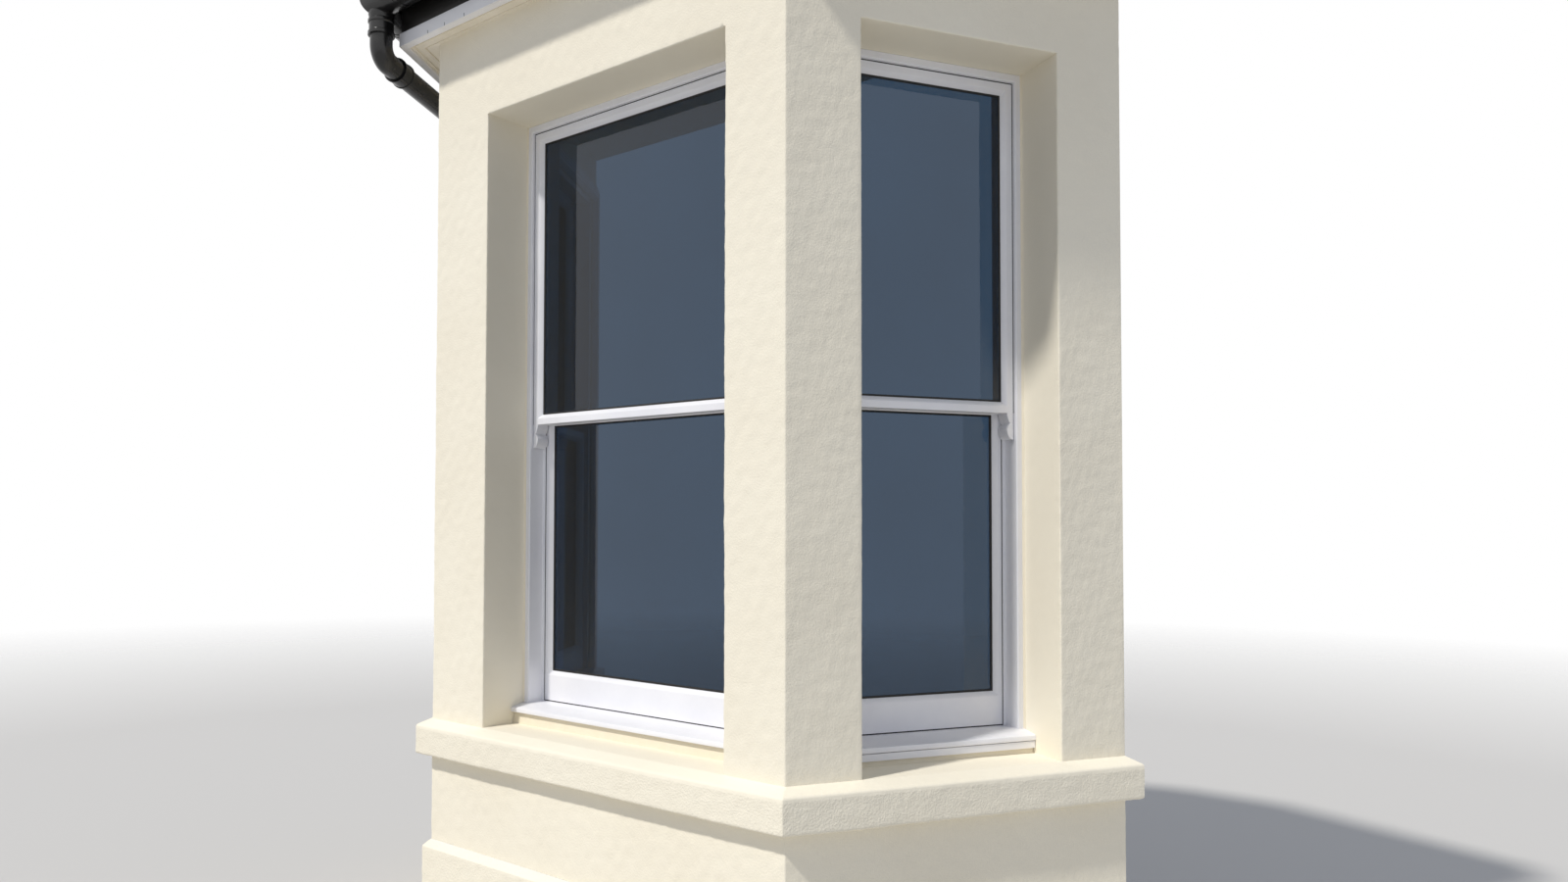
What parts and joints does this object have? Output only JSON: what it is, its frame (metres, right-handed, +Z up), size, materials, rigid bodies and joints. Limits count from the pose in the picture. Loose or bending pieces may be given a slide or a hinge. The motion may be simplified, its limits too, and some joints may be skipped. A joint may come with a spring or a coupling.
{
  "type": "canted bay window",
  "caption": "Canted bay window in cream render with sliding sash windows on its faces, projecting sill band and plinth, eaves with gutter and pipe, and a hipped slate roof.",
  "frame": {"origin": "on the ground, in the middle of the front wall's thickness, on the bay's line of symmetry", "axes": "+X to the right seen from outside, +Y into the house, +Z up"},
  "size_m": [2.6818, 0.974, 3.4747],
  "materials": {
    "render": "sand-finish render over masonry, painted cream",
    "white_joinery": "white paint, satin",
    "glass": "clear",
    "white_boards": "satin",
    "black_boards": "satin",
    "black_rainwater": "gloss",
    "slate": "riven slate",
    "lead": "dull grey",
    "plaster": "matt",
    "floorboards": "oiled"
  },
  "bodies": {
    "root": {"ceiling": "plaster", "cill_beds": "render", "dado_front": "render", "dado_left": "render", "dado_right": "render", "downpipe": "black_rainwater", "eaves_trim": "white_boards", "floor_deck": "floorboards", "front_cill": "white_joinery", "front_frame": "white_joinery", "front_glass": "glass", "front_lower_sash": "white_joinery", "front_upper_sash": "white_joinery", "gutter": "black_rainwater", "gutter_board": "black_boards", "gutter_brackets": "black_rainwater", "head_front": "render", "head_left": "render", "head_right": "render", "hip_rolls": "lead", "left_cill": "white_joinery", "left_corner_pier": "render", "left_end_pier": "render", "left_frame": "white_joinery", "left_glass": "glass", "left_lower_sash": "white_joinery", "left_upper_sash": "white_joinery", "outlet": "black_rainwater", "pipe_clips": "black_rainwater", "pipe_shoe": "black_rainwater", "plinth_front": "render", "plinth_left": "render", "plinth_right": "render", "right_cill": "white_joinery", "right_corner_pier": "render", "right_end_pier": "render", "right_frame": "white_joinery", "right_glass": "glass", "right_lower_sash": "white_joinery", "right_upper_sash": "white_joinery", "roof_front": "slate", "roof_left": "slate", "roof_right": "slate", "sill_front": "render", "sill_left": "render", "sill_right": "render", "soffit": "white_boards", "swan_neck": "black_rainwater", "wall_flashing": "lead", "window_board_front": "white_joinery", "window_board_left": "white_joinery", "window_board_right": "white_joinery"}
  },
  "joints": []
}
